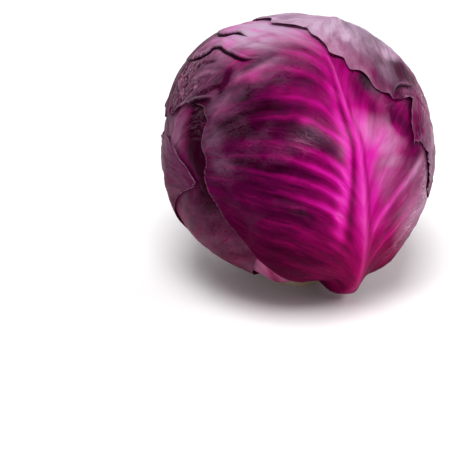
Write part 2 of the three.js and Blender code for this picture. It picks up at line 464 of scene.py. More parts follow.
@dataclass(frozen=True)
class Patch:
    """A zone of a leaf with more or less of something, fading like a bell.

    Attributes:
        along: middle of the zone, up the leaf.
        offset: middle of the zone, right of the midrib.
        size: half sizes, up and across, before it is turned.
        amount: how much is added at the middle.
        turn: how far it is turned.
        crisp: 1 for a plain bell, more for a flat top with a quicker edge.
        by_vein: whether the first angle is the one at which a vein through the place left the midrib.
    """

    along: float
    offset: float
    size: tuple[float, float]
    amount: float
    turn: float = 0.0
    crisp: float = 1.0
    by_vein: bool = False

    def at(self, along: np.ndarray, offset: np.ndarray, root: np.ndarray | None = None) -> np.ndarray:
        """A bell: e to the minus squared distance from the middle, in half sizes, to the crisp power.

        Args:
            along: angles up the leaf.
            offset: angles right of the midrib.
            root: angles at which the veins through these places left the midrib.

        Returns:
            The amount at each place.
        """
        cosine, sine = math.cos(math.radians(self.turn)), math.sin(math.radians(self.turn))
        up, out = (root if self.by_vein else along) - self.along, offset - self.offset
        lengthwise, sideways = up * cosine + out * sine, out * cosine - up * sine
        far = (lengthwise / self.size[0]) ** 2 + (sideways / self.size[1]) ** 2
        return self.amount * np.exp(-(far**self.crisp))


def total(
    patches: tuple[Patch, ...], along: np.ndarray, offset: np.ndarray, root: np.ndarray | None = None
) -> np.ndarray:
    """Sum of the patches' amounts at each place."""
    return sum(patch.at(along, offset, root) for patch in patches) + 0 * along


# ---- finishes ------------------------------------------------------------------------------------
def linear(code: str) -> tuple[float, float, float, float]:
    """Turns an sRGB hex colour into linear numbers with full alpha."""
    parts = [int(code[i : i + 2], 16) / 255 for i in (1, 3, 5)]
    return (*(p / 12.92 if p <= 0.04045 else ((p + 0.055) / 1.055) ** 2.4 for p in parts), 1.0)


class Tree:
    """A node tree being filled, by one short way to add a node."""

    def __init__(self, owner: bpy.types.ID) -> None:
        """Empties the node tree of its owner.

        Args:
            owner: a material or a world.
        """
        owner.use_nodes = True
        self.tree = owner.node_tree
        self.tree.nodes.clear()

    def add(
        self,
        kind: str,
        *inputs: Input,
        named: dict[str, Input] | None = None,
        stops: Stops = (),
        output: str = "",
        **settings: object,
    ) -> Socket | None:
        """Adds a node, sets it up and links it.

        Args:
            kind: the node's type without its ShaderNode prefix, and after a space its operation.
            inputs: values or sockets for the inputs in use, in their order.
            named: values or sockets for inputs by name.
            stops: a colour ramp's places and sRGB hex colours.
            output: name of the output wanted, where it isn't the first in use.
            settings: the node's other settings.

        Returns:
            The output, or None for a node without one.
        """
        name, _, operation = kind.partition(" ")
        node = self.tree.nodes.new("ShaderNode" + name)
        if operation:
            node.operation = operation
        for key, value in settings.items():
            setattr(node, key, value)
        in_use = [socket for socket in node.inputs if socket.enabled]
        chosen = [(node.inputs[key], value) for key, value in (named or {}).items()]
        for socket, value in [*zip(in_use, inputs), *chosen]:
            if isinstance(value, bpy.types.NodeSocket):
                self.tree.links.new(value, socket)
            else:
                socket.default_value = value
        for _ in stops[2:]:
            node.color_ramp.elements.new(0.5)
        for element, (place, code) in zip(node.color_ramp.elements if stops else (), stops):
            element.position, element.color = place, linear(code)
        if output:
            return node.outputs[output]
        return next((socket for socket in node.outputs if socket.enabled), None)


def lines(t: Tree, noise: Socket, width: float) -> Socket:
    """Winding lines: 1 where a noise passes its middle, and 0 from a width off it."""
    return t.add("MapRange", t.add("Math ABSOLUTE", t.add("Math SUBTRACT", noise, 0.5)), 0.0, width, 1.0, 0.0)


def sway(t: Tree, noise: Socket, amount: Input) -> Socket:
    """A noise's swing round its middle, times an amount."""
    return t.add("Math MULTIPLY", t.add("Math SUBTRACT", noise, 0.5), amount)


def hat(t: Tree, value: Socket, low: float, high: float) -> Socket:
    """1 in the middle of a range and 0 at both its ends, with straight sides.

    Args:
        t: the tree to add to.
        value: the number that is looked at.
        low: the range's lower end.
        high: its upper end.

    Returns:
        The number from 0 to 1.
    """
    middle = (low + high) / 2
    up = t.add("MapRange", value, low, middle)
    return t.add("Math MULTIPLY", up, t.add("MapRange", value, middle, high, 1.0, 0.0))


@dataclass(frozen=True)
class Grain:
    """A noise drawn on the skin map.

    Attributes:
        across: size of its features across the leaf, in millimetres.
        along: their size up the leaf, in millimetres.
        detail: how many finer noises it sums.
        rough: how strong those are.
        warp: how far it is pulled about.
    """

    across: float
    along: float
    detail: float
    rough: float = 0.5
    warp: float = 0.0

    def draw(self, t: Tree, skin: Socket) -> Socket:
        """Adds the noise.

        Args:
            t: the tree to add it to.
            skin: the skin map, in metres.

        Returns:
            The noise, from 0 to 1.
        """
        scale = (1 / (self.across * MM), 1 / (self.along * MM), 1.0)
        stretched = t.add("Mapping", named={"Vector": skin, "Scale": scale})
        build = {"Detail": self.detail, "Roughness": self.rough, "Distortion": self.warp}
        return t.add("TexNoise", named={"Vector": stretched, "Scale": 1.0, **build})


GRAINS = {
    "streaks": Grain(17.0, 1.5, 3.0, 0.6, 0.3),
    "bands": Grain(30.0, 7.0, 3.0, 0.55, 0.4),
    "blotches": Grain(13.0, 10.0, 4.0, 0.6, 0.6),
    "specks": Grain(3.2, 2.2, 3.0, 0.65),
    "coarse": Grain(9.0, 5.0, 1.0, 0.5, 0.5),
    "fine": Grain(4.0, 3.0, 1.0, 0.5, 0.5),
}


@dataclass(frozen=True)
class LeafSkin:
    """Red cabbage leaf: purple skin with magenta tissue by the veins, under a grey-lilac wax bloom.

    The wax makes the surface dull and hides the colour where it is thick. It is rubbed off in
    blotches and along the ridges. A leaf's old margin and its scuffed places dry to pale flakes.

    Attributes:
        name: the material's name.
        stops: blade colours from the darkest to the brightest tone.
        bloom: colour of the wax, and of the painted highlight on a fold's crest.
        rim: colour of the dry margin and the flakes.
        stalk: tint of the tissue towards the stalk.
        crease: colour of the painted shadow line along a fold.
        sheen: tint of the gloss.
        mottle: how much the wax and the tone vary from place to place.
        streaks: how much the streaks change the tone.
        bands: how much the bands change it.
        blotches: how much the blotches change it.
        wear: how much the wax differs from one blotch to the next.
        specks: how much it differs from one speck to the next.
        rough: roughness of the bare leaf, at its least and its greatest.
        gloss: specular level of the bare leaf and of a waxy one.
        bump: strength of the fine relief.
        relief: its height.
    """

    name: str
    stops: Stops = (
        (0.0, "#260014"),
        (0.2, "#4A0231"),
        (0.4, "#7A044E"),
        (0.6, "#A80974"),
        (0.8, "#CE1E9E"),
        (1.0, "#E652B8"),
    )
    bloom: str = "#B597B2"
    rim: str = "#CB9DB4"
    stalk: str = "#FFDCC4"
    # colour of the painted shadow along a fold
    crease: str = "#1C0212"
    sheen: str = "#E9A8D8"
    mottle: float = 1.0
    streaks: float = 0.24
    bands: float = 0.5
    blotches: float = 0.3
    wear: float = 0.3
    specks: float = 0.5
    rough: tuple[float, float] = (0.36, 0.48)
    gloss: tuple[float, float] = (0.02, 0.12)
    bump: float = 0.3
    relief: float = 0.4 * MM

    def tissue(self, t: Tree, grain: dict[str, Socket], field: dict[str, Socket]) -> Socket:
        """Colour of the bare leaf: its tone, swayed by streaks, bands and blotches, on the ramp.

        Args:
            t: the tree to add to.
            grain: the noises by name.
            field: the leaf's fields by name.

        Returns:
            The colour.
        """
        tone, streak = field["tone"], field["streak"]
        for name, amount in (("streaks", self.streaks), ("bands", self.bands)):
            tone = t.add("Math ADD", tone, sway(t, grain[name], t.add("Math MULTIPLY", streak, amount)))
        tone = t.add("Math ADD", tone, sway(t, grain["blotches"], self.blotches * self.mottle))
        tone = t.add("Math ADD", tone, t.add("Math MULTIPLY", grain["net"], 0.05), use_clamp=True)
        blade = t.add("ValToRGB", tone, stops=self.stops)
        return t.add("Mix", field["warm"], blade, linear(self.stalk), data_type="RGBA", blend_type="MULTIPLY")

    def wax(self, t: Tree, grain: dict[str, Socket], field: dict[str, Socket]) -> Socket:
        """Share of wax: the leaf's bloom, thicker and thinner by blotches and specks, worn on the net.

        Args:
            t: the tree to add to.
            grain: the noises by name.
            field: the leaf's fields by name.

        Returns:
            The share, from 0 to 1.
        """
        swing = self.wear * self.mottle
        uneven = t.add("MapRange", grain["blotches"], 0.36, 0.64, 1 - swing, 1 + swing)
        uneven = t.add("Math ADD", uneven, sway(t, grain["specks"], self.specks * self.mottle))
        wax = t.add("Math MULTIPLY", field["bloom"], uneven)
        return t.add("Math SUBTRACT", wax, t.add("Math MULTIPLY", grain["net"], 0.06), use_clamp=True)

    def dryness(self, t: Tree, grain: dict[str, Socket], field: dict[str, Socket]) -> Socket:
        """Share of dry skin: a speckled line in the margin, and flakes along the net and the streaks.

        Args:
            t: the tree to add to.
            grain: the noises by name.
            field: the leaf's fields by name.

        Returns:
            The share, from 0 to 1.
        """
        margin = t.add("MapRange", field["inside"], 0.25, 1.1, 1.0, 0.0)
        margin = t.add("Math MULTIPLY", margin, field["rim"])
        margin = t.add("Math MULTIPLY", margin, t.add("MapRange", grain["specks"], 0.35, 0.6))
        flakes = t.add("Math MAXIMUM", grain["net"], t.add("MapRange", grain["streaks"], 0.57, 0.65))
        flakes = t.add("Math MAXIMUM", flakes, t.add("MapRange", grain["specks"], 0.58, 0.66))
        return t.add("Math MAXIMUM", margin, t.add("Math MULTIPLY", field["dry"], flakes))

    def paint_fold_highlight_and_shadow(self, t: Tree, field: dict[str, Socket], colour: Socket) -> Socket:
        """Painted light at a fold: a pale painted highlight on its crest and a dark painted shadow line, both
        from the distance to the fold.

        Args:
            t: the tree to add to.
            field: the leaf's fields by name.
            colour: the colour without folds.

        Returns:
            The colour with them.
        """
        fold, away = field["fold"], field["away"]
        # The dark line is a painted shadow under the fold's raised edge, wider on stronger folds.
        start = t.add("Math MULTIPLY", t.add("Math MULTIPLY", fold, fold), -1.8)
        line = t.add("MapRange", t.add("Math SUBTRACT", away, start), -0.4, 0.3)
        line = t.add("Math MULTIPLY", line, t.add("MapRange", away, -0.1, 0.35, 1.0, 0.0))
        line = t.add("Math MULTIPLY", line, t.add("MapRange", fold, 0.05, 0.4))
        # The pale crest is a painted highlight on the raised side.
        crest = t.add("Math MULTIPLY", hat(t, away, 0.3, 1.6), t.add("Math MULTIPLY", fold, 0.3))
        colour = t.add("Mix", crest, colour, linear(self.bloom), data_type="RGBA")
        return t.add("Mix", line, colour, linear(self.crease), data_type="RGBA")

    def material(self) -> bpy.types.Material:
        """Builds the material once: tissue, wax, dry skin and the folds' painted highlight and shadow, one
        over the other.

        It reads the skin map and the fields of the leaf.

        Returns:
            The material.
        """
        if self.name in bpy.data.materials:
            return bpy.data.materials[self.name]
        material = bpy.data.materials.new(self.name)
        t = Tree(material)
        skin = t.add("UVMap", uv_map="skin")
        field = {name: t.add("Attribute", attribute_name=name, output="Fac") for name in FIELDS}
        grain = {name: one.draw(t, skin) for name, one in GRAINS.items()}
        fine = t.add("Math MULTIPLY", lines(t, grain["fine"], 0.03), 0.6)
        grain["net"] = t.add("Math MAXIMUM", lines(t, grain["coarse"], 0.02), fine)

        colour = self.tissue(t, grain, field)
        colour = t.add("Mix", self.wax(t, grain, field), colour, linear(self.bloom), data_type="RGBA")
        colour = t.add("Mix", self.dryness(t, grain, field), colour, linear(self.rim), data_type="RGBA")
        # painted highlight and shadow along the folds
        colour = self.paint_fold_highlight_and_shadow(t, field, colour)

        streaks = t.add("Math MULTIPLY", grain["streaks"], field["streak"])
        height = t.add("Math ADD", t.add("Math MULTIPLY", grain["net"], 0.35), streaks)
        height = t.add("Math ADD", height, t.add("Math MULTIPLY", grain["specks"], 0.35))
        bump = t.add("Bump", named={"Height": height, "Strength": self.bump, "Distance": self.relief})
        wax = field["bloom"]
        worn = t.add("MapRange", grain["blotches"], 0.3, 0.7, *self.rough)
        rough = t.add("Math ADD", t.add("Math MULTIPLY", wax, 0.15), worn)
        gloss = t.add("MapRange", wax, 0.0, 0.6, *self.gloss)
        away_from_stalk = t.add("Math SUBTRACT", 1.0, field["warm"], use_clamp=True)
        surface = {
            "Base Color": colour,
            "Roughness": rough,
            "Normal": bump,
            "Specular IOR Level": t.add("Math MULTIPLY", gloss, away_from_stalk),
            "Specular Tint": linear(self.sheen),
        }
        t.add("OutputMaterial", t.add("BsdfPrincipled", named=surface))
        return material


@dataclass(frozen=True)
class CutStem:
    """Cut cabbage stem: pale fibrous pith that dries to a greyer rim.

    Attributes:
        pith: colour of the fresh cut.
        skin: colour of its duller patches.
        dried: colour of the rim and the side.
        fibres: fibres in a millimetre.
        patches: patches in a millimetre.
    """

    pith: str = "#EFE6CF"
    skin: str = "#C9B79B"
    dried: str = "#B49A78"
    fibres: float = 0.9
    patches: float = 0.16

    def material(self) -> bpy.types.Material:
        """Builds the material: patches of pith, a dried rim by the distance from the axis, and fibres.

        Returns:
            The material.
        """
        material = bpy.data.materials.new("cut_stem")
        t = Tree(material)
        place = t.add("TexCoord", output="Object")
        fibres = t.add("TexNoise", named={"Vector": place, "Scale": self.fibres / MM, "Detail": 3.0})
        patches = t.add("TexNoise", named={"Vector": place, "Scale": self.patches / MM, "Detail": 3.0})
        out = t.add("VectorMath LENGTH", t.add("VectorMath MULTIPLY", place, (1.0, 1.0, 0.0)))
        radius = STEM_BOX[1][0]
        dried = t.add("Math MULTIPLY", t.add("MapRange", out, 0.6 * radius, radius), 0.75)
        dull = t.add("MapRange", patches, 0.35, 0.7)
        colour = t.add("Mix", dull, linear(self.pith), linear(self.skin), data_type="RGBA")
        colour = t.add("Mix", dried, colour, linear(self.dried), data_type="RGBA")
        bump = t.add("Bump", named={"Height": fibres, "Strength": 0.4, "Distance": 0.4 * MM})
        rough = t.add("MapRange", fibres, 0.3, 0.7, 0.55, 0.8)
        surface = {"Base Color": colour, "Roughness": rough, "Normal": bump}
        t.add("OutputMaterial", t.add("BsdfPrincipled", named=surface))
        return material


Finish = LeafSkin | CutStem


# ---- leaves --------------------------------------------------------------------------------------
@dataclass(frozen=True)
class Lie:
    """Where the points of a grid lie in one leaf.

    Attributes:
        along: angle up the leaf.
        offset: angle to the right of the midrib.
        ribs: distance to the right of the midrib, in half widths of the midrib.
        root: angle up the leaf at which the vein through the point left the midrib.
        vein: how much of a side vein the point is.
        bulge: how far it is from the veins on both sides of it.
        inside: distance inside the margin.
        free: 0 by the stalk, 1 where the leaf no longer clings.
    """

    along: np.ndarray
    offset: np.ndarray
    ribs: np.ndarray
    root: np.ndarray
    vein: np.ndarray
    bulge: np.ndarray
    inside: np.ndarray
    free: np.ndarray


@dataclass(frozen=True)
class Folding:
    """What all the folds of a leaf add up to at the points of a grid.

    Attributes:
        step: height that the folds add.
        soft: part of it that is painted into the colour: painted shade in the valleys, painted light on soft
            ridges.
        away: distance from the nearest fold's line, in millimetres.
        strength: that fold's strength.
    """

    step: np.ndarray
    soft: np.ndarray
    away: np.ndarray
    strength: np.ndarray


@dataclass(frozen=True)
class Leaf:
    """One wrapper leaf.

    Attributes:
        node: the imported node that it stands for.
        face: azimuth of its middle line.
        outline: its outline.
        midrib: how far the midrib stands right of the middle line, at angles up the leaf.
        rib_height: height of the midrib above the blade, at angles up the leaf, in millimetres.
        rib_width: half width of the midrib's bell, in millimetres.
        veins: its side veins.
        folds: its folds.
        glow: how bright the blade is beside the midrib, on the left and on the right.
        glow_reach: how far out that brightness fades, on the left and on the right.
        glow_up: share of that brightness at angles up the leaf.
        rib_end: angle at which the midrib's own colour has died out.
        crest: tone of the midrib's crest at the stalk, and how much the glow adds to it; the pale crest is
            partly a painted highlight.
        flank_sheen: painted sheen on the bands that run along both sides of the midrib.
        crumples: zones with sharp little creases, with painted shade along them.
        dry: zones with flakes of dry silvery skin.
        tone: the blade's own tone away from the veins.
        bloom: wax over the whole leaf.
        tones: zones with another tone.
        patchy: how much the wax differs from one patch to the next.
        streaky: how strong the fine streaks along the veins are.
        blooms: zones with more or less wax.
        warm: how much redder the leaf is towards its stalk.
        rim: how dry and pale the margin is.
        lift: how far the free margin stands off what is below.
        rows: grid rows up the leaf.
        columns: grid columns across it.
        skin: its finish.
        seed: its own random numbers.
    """

    node: str
    face: float
    outline: Outline
    skin: LeafSkin
    midrib: Knots = ((0, 0), (220, 0.01))
    rib_height: Knots = ((13, 2.4), (26, 4.2), (45, 2.6), (70, 1.7), (110, 1.0), (150, 0.4), (180, 0.0))
    rib_width: Knots = ((13, 8), (26, 8.5), (45, 6.5), (70, 4.2), (110, 3.0), (150, 2.0), (180, 1.5))
    veins: Veins = Veins()
    folds: tuple[Fold, ...] = ()
    glow: tuple[float, float] = (0.45, 0.45)
    glow_reach: tuple[float, float] = (12.0, 12.0)
    glow_up: Knots = ((0, 0.5), (60, 0.8), (90, 1.0), (130, 0.8), (165, 0.3), (200, 0.0))
    rib_end: float = 175.0
    crest: tuple[float, float] = (0.25, 0.15)
    flank_sheen: tuple[float, float] = (0.0, 0.0)
    crumples: tuple[Patch, ...] = ()
    dry: tuple[Patch, ...] = ()
    tone: float = 0.2
    bloom: float = 0.25
    tones: tuple[Patch, ...] = ()
    patchy: float = 0.02
    streaky: float = 1.0
    blooms: tuple[Patch, ...] = ()
    warm: float = 0.7
    rim: float = 0.4
    lift: float = 0.7 * MM
    rows: int = 150
    columns: int = 120
    seed: int = 1

    def directions(self, along: np.ndarray, across: np.ndarray) -> np.ndarray:
        """Unit vectors at places of the leaf.

        Args:
            along: angles up the leaf's middle line, from straight down.
            across: angles from there to the right.

        Returns:
            The vectors, three numbers each.
        """
        along, across, face = np.radians(along), np.radians(across), math.radians(self.face)
        out, side, down = np.cos(across) * np.sin(along), np.sin(across), np.cos(across) * np.cos(along)
        x = out * math.sin(face) + side * math.cos(face)
        y = -out * math.cos(face) + side * math.sin(face)
        return np.stack([x, y, -down], axis=-1)

    def place(self, toward: np.ndarray) -> tuple[np.ndarray, np.ndarray]:
        """Places of the leaf that directions point at: the inverse of directions().

        Args:
            toward: unit vectors from the head's centre.

        Returns:
            Angles up the leaf, and angles across it.
        """
        face = math.radians(self.face)
        out = toward[..., 0] * math.sin(face) - toward[..., 1] * math.cos(face)
        side = toward[..., 0] * math.cos(face) + toward[..., 1] * math.sin(face)
        turn = np.degrees(np.arctan2(out, -toward[..., 2]))
        return np.where(turn < -90, turn + 360, turn), np.degrees(np.arcsin(np.clip(side, -1, 1)))

    def offset(self, along: np.ndarray, across: np.ndarray) -> np.ndarray:
        """Angle to the right of the midrib."""
        return across - curve(along, self.midrib)

    def beyond(self, toward: np.ndarray) -> np.ndarray:
        """Distance outside the leaf's margin: the furthest of what it is past the sides, tip and stalk.

        Args:
            toward: unit vectors from the head's centre.

        Returns:
            The distance, with a minus sign inside the leaf.
        """
        along, across = self.place(toward)
        offset = self.offset(along, across)
        width = self.outline.width(along, offset)
        share = np.clip(offset / width, -1, 1)
        over = np.maximum(np.abs(offset) - width, along - self.outline.reach(share))
        return np.maximum(over, np.maximum(STEM_ANGLE - from_below_of(toward), -along)) * DEGREE

    def coverage(self, toward: np.ndarray, falloff: float) -> np.ndarray:
        """1 on the leaf, fading to 0 over a distance outside its margin."""
        return 1 - smoothstep(self.beyond(toward) / falloff)

    def rib(self, toward: np.ndarray, spread: float) -> np.ndarray:
        """Height of the midrib: a bell across it that turns into a flat-topped lip at the stalk.

        Args:
            toward: unit vectors from the head's centre.
            spread: how much wider it is taken to be.

        Returns:
            The height.
        """
        along, across = self.place(toward)
        away = self.offset(along, across) * DEGREE
        width = curve(along, self.rib_width) * MM + spread
        power = 2 + 2 * smoothstep((LIP_END - along) / 12)
        return curve(along, self.rib_height) * MM * np.exp(-(np.abs(away / width) ** power))

    def vein_field(self, along: np.ndarray, offset: np.ndarray) -> tuple[np.ndarray, np.ndarray, np.ndarray]:
        """Side veins: each starts at the midrib and climbs by a first rise that runs out, plus a slope.

        Args:
            along: angle up the leaf.
            offset: angle to the right of the midrib.

        Returns:
            The place along the midrib that each point's vein came from, how much of a vein it is, and
            how far it bulges between two veins.
        """
        out = np.abs(offset)
        root = along.copy()
        vein = np.zeros_like(along)
        bulge = np.zeros_like(along)
        for mask, starts, climb in (
            (offset < 0, self.veins.left, self.veins.left_climb),
            (offset >= 0, self.veins.right, self.veins.right_climb),
        ):
            first, run, slope = climb
            wander = self.veins.wander * cloud(out / 14, along / 20, self.seed + 11)
            came = along - first * (1 - np.exp(-out / run)) - slope * out + wander
            starts, weights = np.array(starts).T
            gap = np.abs(came[..., None] - starts)
            near = gap.min(axis=-1)
            width = self.veins.width[0] + self.veins.width[1] * np.exp(-out / self.veins.widening)
            vein = np.where(mask, hump(near, 0, width) * weights[gap.argmin(axis=-1)], vein)
            spacing = np.interp(came, starts, np.gradient(starts))
            bulge = np.where(mask, smoothstep(near / (0.5 * spacing)), bulge)
            root = np.where(mask, came, root)
        fade = np.exp(-out / self.veins.fade) * smoothstep((out - 1.5) / 7.0)
        return root, vein * fade, bulge * fade

    def lie(self, toward: np.ndarray) -> Lie:
        """Works out where directions lie in the leaf.

        Args:
            toward: unit vectors from the head's centre.

        Returns:
            Their place between the midrib, the side veins and the margin.
        """
        along, across = self.place(toward)
        offset = self.offset(along, across)
        ribs = offset * DEGREE / MM / curve(along, self.rib_width)
        root, vein, bulge = self.vein_field(along, offset)
        inside = np.maximum(-self.beyond(toward), 0.0)
        return Lie(along, offset, ribs, root, vein, bulge, inside, smoothstep((along - 45) / 40))

    def crumpling(self, lie: Lie) -> tuple[np.ndarray, np.ndarray]:
        """Little creases, where a noise passes its middle.

        Args:
            lie: where the points lie.

        Returns:
            How crumpled the leaf is, and how near a crease is: 1 on it, and less further off.
        """
        noise = cloud(lie.offset / 6 + 40, lie.along / 9 + 40, self.seed + 51, 2)
        return total(self.crumples, lie.along, lie.offset), 1 - np.abs(noise) * 5

    def folding(self, toward: np.ndarray) -> Folding:
        """Sums the folds, and keeps the distance to the nearest one.

        Args:
            toward: unit vectors from the head's centre.

        Returns:
            What they add up to.
        """
        nothing = np.zeros(toward.shape[:-1])
        step, soft, away, strength = nothing, nothing, nothing + FAR, nothing
        for fold in self.folds:
            height, distance, power = fold.fields(toward)
            step = step + height
            # Valleys go into the colour as painted shade, and soft ridges up to a height as painted light.
            limit = SOFT_FOLD_LIGHT if fold.kind is FoldKind.SOFT else 0
            soft = soft + np.minimum(height, limit)
            nearer = (np.abs(distance) < np.abs(away)) & (power > 0.01)
            away, strength = np.where(nearer, distance, away), np.where(nearer, power, strength)
        return Folding(step, soft, away, strength)

    def height(self, lie: Lie) -> np.ndarray:
        """What stands up from the plain blade: veins, the swell between them, and a free margin's lift.

        Args:
            lie: where the points lie.

        Returns:
            The height, without folds and midrib.
        """
        blade = self.veins.height * lie.vein + self.veins.pucker * lie.bulge
        blade -= GROOVE * smoothstep((lie.along - 30) / 25) * hump(np.abs(lie.ribs), 1.7, 0.6)
        blade += SWELL * lie.free * cloud(lie.offset / 16, lie.root / 6.5, self.seed)
        blade += PLEAT * lie.free * cloud(lie.offset / 7, lie.root / 2.4, self.seed + 5)
        ruffle = self.outline.ripple(lie.along + 0.7 * lie.offset + 20)
        blade += lie.free * (1 - smoothstep(lie.inside / MARGIN)) * (self.lift + RUFFLE * ruffle)
        crumple, crease = self.crumpling(lie)
        return blade - CRUMPLE * crumple * np.maximum(crease, -0.6)

    def warped(self, lie: Lie) -> tuple[np.ndarray, np.ndarray]:
        """Pulls the angles about by two clouds, so that no zone is a plain oval.

        Args:
            lie: where the points lie.

        Returns:
            Angles up the leaf, and angles right of the midrib.
        """
        along, offset = lie.along, lie.offset
        warped_along = along + 5 * cloud(offset / 20, along / 20, self.seed + 31)
        return warped_along, offset + 4 * cloud(offset / 14, along / 14, self.seed + 41)

    def crest_share(self, lie: Lie) -> np.ndarray:
        """How much of the midrib's crest a point is: a bell a little right of its middle, on the lit side,
        with a painted highlight.
        """
        return hump(lie.ribs, 0.1, 0.46) * smoothstep((self.rib_end - lie.along) / 50)

    def tone_field(self, lie: Lie, soft: np.ndarray) -> np.ndarray:
        """How bright the tissue is.

        The glow beside the midrib and the veins is laid on the blade's own tone. Then come the zones, the
        creases' and folds' painted shade and light, the painted sheen of the bands along both sides of the
        midrib, their painted shade next to it, and its crest with a painted highlight.

        Args:
            lie: where the points lie.
            soft: height of the folds that is painted into the tone as shade and light.

        Returns:
            The tone, 0 for the darkest and 1 for the brightest colour.
        """
        left = lie.offset < 0
        glow_up = curve(lie.along, self.glow_up)
        reach = np.where(left, self.glow_reach[0], self.glow_reach[1])
        fall = np.exp(-((np.abs(lie.offset) / reach) ** 1.3))
        glow = np.where(left, self.glow[0], self.glow[1]) * glow_up * fall
        tone = self.tone + glow * (1 - 0.45 * lie.bulge) + self.veins.tone * lie.vein * glow_up
        tone = tone + total(self.tones, *self.warped(lie), lie.root)
        # Painted shade along the little creases, and the folds' painted shade and light.
        crumple, crease = self.crumpling(lie)
        tone = tone - 0.3 * crumple * smoothstep((crease - 0.55) / 0.3) + 0.2 * soft / MM

        # Distances from the midrib are in its half widths, and the bands lie further out low on the leaf.
        low = smoothstep((112 - lie.along) / 26)
        band = smoothstep((lie.along - 66) / 18) * smoothstep((self.rib_end - 40 - lie.along) / 40)
        band = band * (1 - 0.4 * smoothstep((lie.along - 140) / 16))
        # Painted sheen on the sloping sides of the midrib.
        flank_sheen = self.flank_sheen[0] * hump(lie.ribs, -2.25 - 0.95 * low, 1.1)
        flank_sheen = flank_sheen + self.flank_sheen[1] * hump(lie.ribs, 2.7, 1.3)
        flank_sheen = flank_sheen * (1 - 0.4 * smoothstep((lie.along - 98) / 16))
        # Painted shade beside the midrib, wide on the side away from the light and narrow on the other.
        shade = 0.5 * hump(lie.ribs, -1.1 - 0.7 * low, 0.42 + 0.28 * low) + 0.2 * hump(lie.ribs, 1.25, 0.35)
        crest = self.crest_share(lie)
        tone = np.minimum(tone + flank_sheen * band, BRIGHTEST_BLADE) * (1 - crest) * (1 - shade * band)
        return tone + crest * (self.crest[0] + self.crest[1] * glow_up)

    def bloom_field(self, lie: Lie, soft: np.ndarray) -> np.ndarray:
        """How much wax there is: the leaf's own, its patches and zones, less on veins and the crest.

        Args:
            lie: where the points lie.
            soft: height of the folds that is painted into the wax share as shade and light.

        Returns:
            The share of wax, from 0 to 1.
        """
        along, offset = self.warped(lie)
        crest = self.crest_share(lie)
        bloom = self.bloom + self.patchy * np.tanh(4 * cloud(offset / 9, along / 9, self.seed + 61, 2))
        # More wax on the soft ridges and less in the valleys paints light and shade there.
        bloom = bloom + total(self.blooms, along, offset, lie.root) + 0.25 * soft / MM
        return np.clip(bloom * (1 - 0.3 * lie.vein) * (1 - crest) + 0.06 * crest, 0, 1)

    def fields(self, lie: Lie, folding: Folding) -> dict[str, np.ndarray]:
        """The numbers that the finish reads at each point.

        Args:
            lie: where the points lie.
            folding: what the folds add up to.

        Returns:
            The numbers under the names that the finish uses.
        """
        streak = 0.3 + 0.7 * hump(np.abs(lie.offset), 24, 20)
        return {
            "tone": self.tone_field(lie, folding.soft),
            "warm": self.warm * smoothstep((104 - lie.along) / 50),
            "bloom": self.bloom_field(lie, folding.soft),
            "dry": total(self.dry, lie.along, lie.offset),
            "rim": self.rim * lie.free,
            "inside": np.minimum(lie.inside / MM, FAR),
            "away": folding.away,
            "fold": folding.strength,
            "streak": self.streaky * streak * (1 - 0.8 * self.crest_share(lie)),
        }

    def grid(self) -> tuple[np.ndarray, np.ndarray]:
        """Lays the grid: rows from the stem's edge to the tip, columns from margin to margin.

        Returns:
            Angles up the leaf and across it.
        """
        share = np.linspace(-1, 1, self.columns)[None, :]
        up = np.linspace(0, 1, self.rows)[:, None]
        across = curve(np.array([STEM_ANGLE]), self.midrib) + share * STALK_HALF_WIDTH
        cosine = math.cos(math.radians(STEM_ANGLE)) / np.cos(np.radians(across))
        start = np.degrees(np.arccos(np.clip(cosine, 0, 1)))
        along = start + up * (self.outline.reach(share) - start)
        across = curve(along, self.midrib) + share * self.outline.width(along, share + 0 * along)
        return along, across

    def build(self, head: "Head", order: int) -> bpy.types.Object:
        """Makes the leaf where it lies on the leaves below it.

        Args:
            head: the whole head, which says how high the leaves below stand.
            order: how many leaves lie below.

        Returns:
            The leaf, dressed.
        """
        toward = self.directions(*self.grid())
        lie, folding = self.lie(toward), self.folding(toward)
        under = head.stack_radius(toward, order) + GAP
        covers = [leaf.coverage(toward, COVER_FALLOFF) for leaf in head.leaves[order + 1 :]]
        bare = 1 - np.maximum.reduce([*covers, 0 * under])
        over = under + BLADE + self.rib(toward, 0.0) + bare * (self.height(lie) + folding.step)
        over = np.minimum(over, radius_at_level(toward, CENTRE[2] - FLOOR_GAP))
        thickness = BLADE * np.minimum(1.0, 0.45 + lie.inside / (3 * MM))
        outer, inner = at_radius(toward, over), at_radius(toward, over - thickness)[::2, ::2]
        points = np.concatenate([outer.reshape(-1, 3), inner.reshape(-1, 3)])
        piece = new_object(self.node + "_skin", points, skin_faces(self.rows, self.columns))

        def both(values: np.ndarray) -> np.ndarray:
            """Numbers for the outer points and then for the inner ones."""
            return np.concatenate([values.ravel(), values[::2, ::2].ravel()])

        for name, values in self.fields(lie, folding).items():
            add_field(piece, name, both(values))
        add_uv(piece, both(lie.offset) * DEGREE, both(lie.root) * DEGREE)
        return hand_over(piece, self.node, self.skin)


